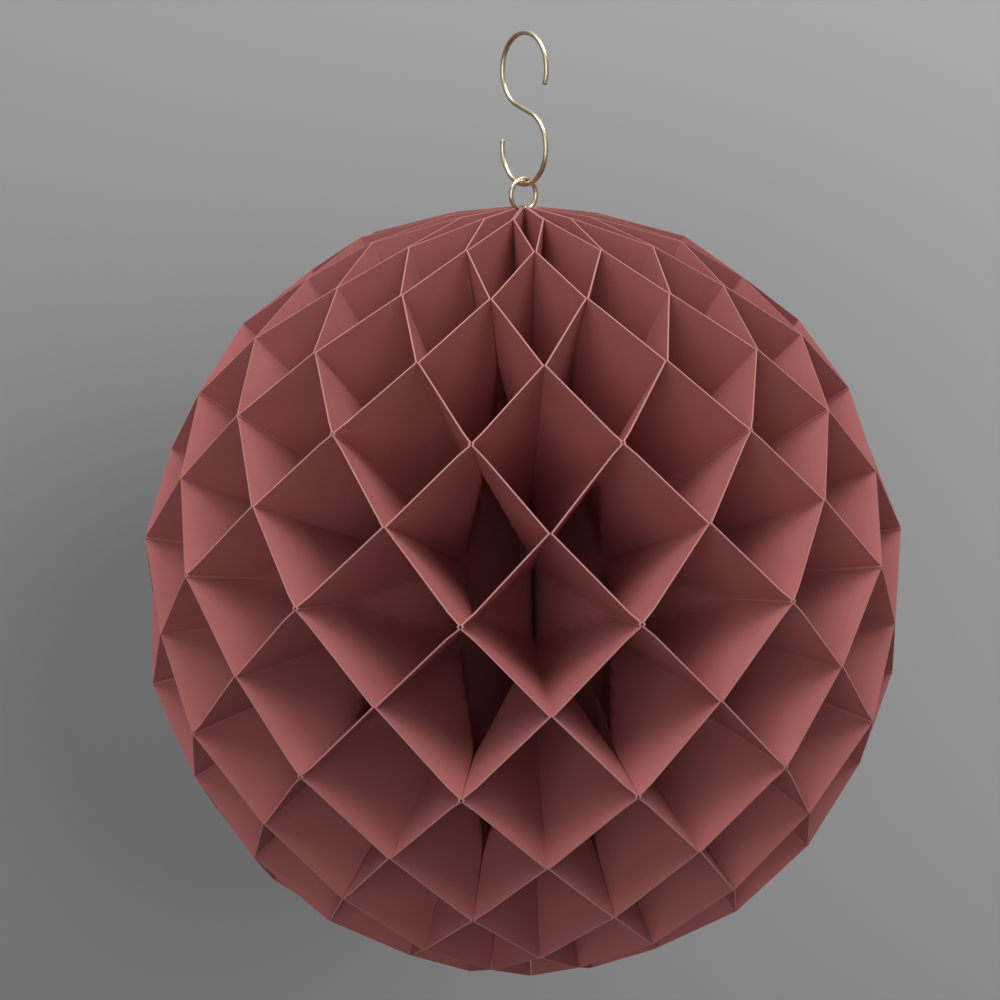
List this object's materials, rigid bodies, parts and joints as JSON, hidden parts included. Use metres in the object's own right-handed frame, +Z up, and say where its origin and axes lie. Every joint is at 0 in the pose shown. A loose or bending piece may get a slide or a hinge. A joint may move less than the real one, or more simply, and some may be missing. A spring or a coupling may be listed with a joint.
{
  "type": "honeycomb paper ball",
  "caption": "Hanging paper ball of zigzag-folded leaves glued crest to crest into diamond cells, with a brass ring and S-hook.",
  "frame": {"origin": "highest point inside the upper bend of the S-hook, where the part hangs", "axes": "+Z up along the ball's axis; the S-hook lies in the XZ plane with its upper tip towards +X, the ring lies in the YZ plane"},
  "size_m": [0.1962, 0.1962, 0.2432],
  "materials": {
    "paper": "matt",
    "core": "matt",
    "brass": "satin"
  },
  "bodies": {
    "hanger": {"s_hook": "brass", "ring": "brass"},
    "ball": {"leaf_01": "paper", "leaf_02": "paper", "leaf_03": "paper", "leaf_04": "paper", "leaf_05": "paper", "leaf_06": "paper", "leaf_07": "paper", "leaf_08": "paper", "leaf_09": "paper", "leaf_10": "paper", "leaf_11": "paper", "leaf_12": "paper", "leaf_13": "paper", "leaf_14": "paper", "leaf_15": "paper", "leaf_16": "paper", "leaf_17": "paper", "leaf_18": "paper", "leaf_19": "paper", "leaf_20": "paper", "leaf_21": "paper", "leaf_22": "paper", "leaf_23": "paper", "leaf_24": "paper", "leaf_25": "paper", "leaf_26": "paper", "leaf_27": "paper", "leaf_28": "paper", "leaf_29": "paper", "leaf_30": "paper", "leaf_31": "paper", "leaf_32": "paper", "spindle": "core", "eye_pin": "brass"}
  },
  "joints": [
    {"name": "ball_swing", "type": "hinge", "parent": "hanger", "child": "ball", "pos_m": [0, 0, -0.04293], "axis": [0, 1, 0], "range_deg": [-50, 50]}
  ]
}
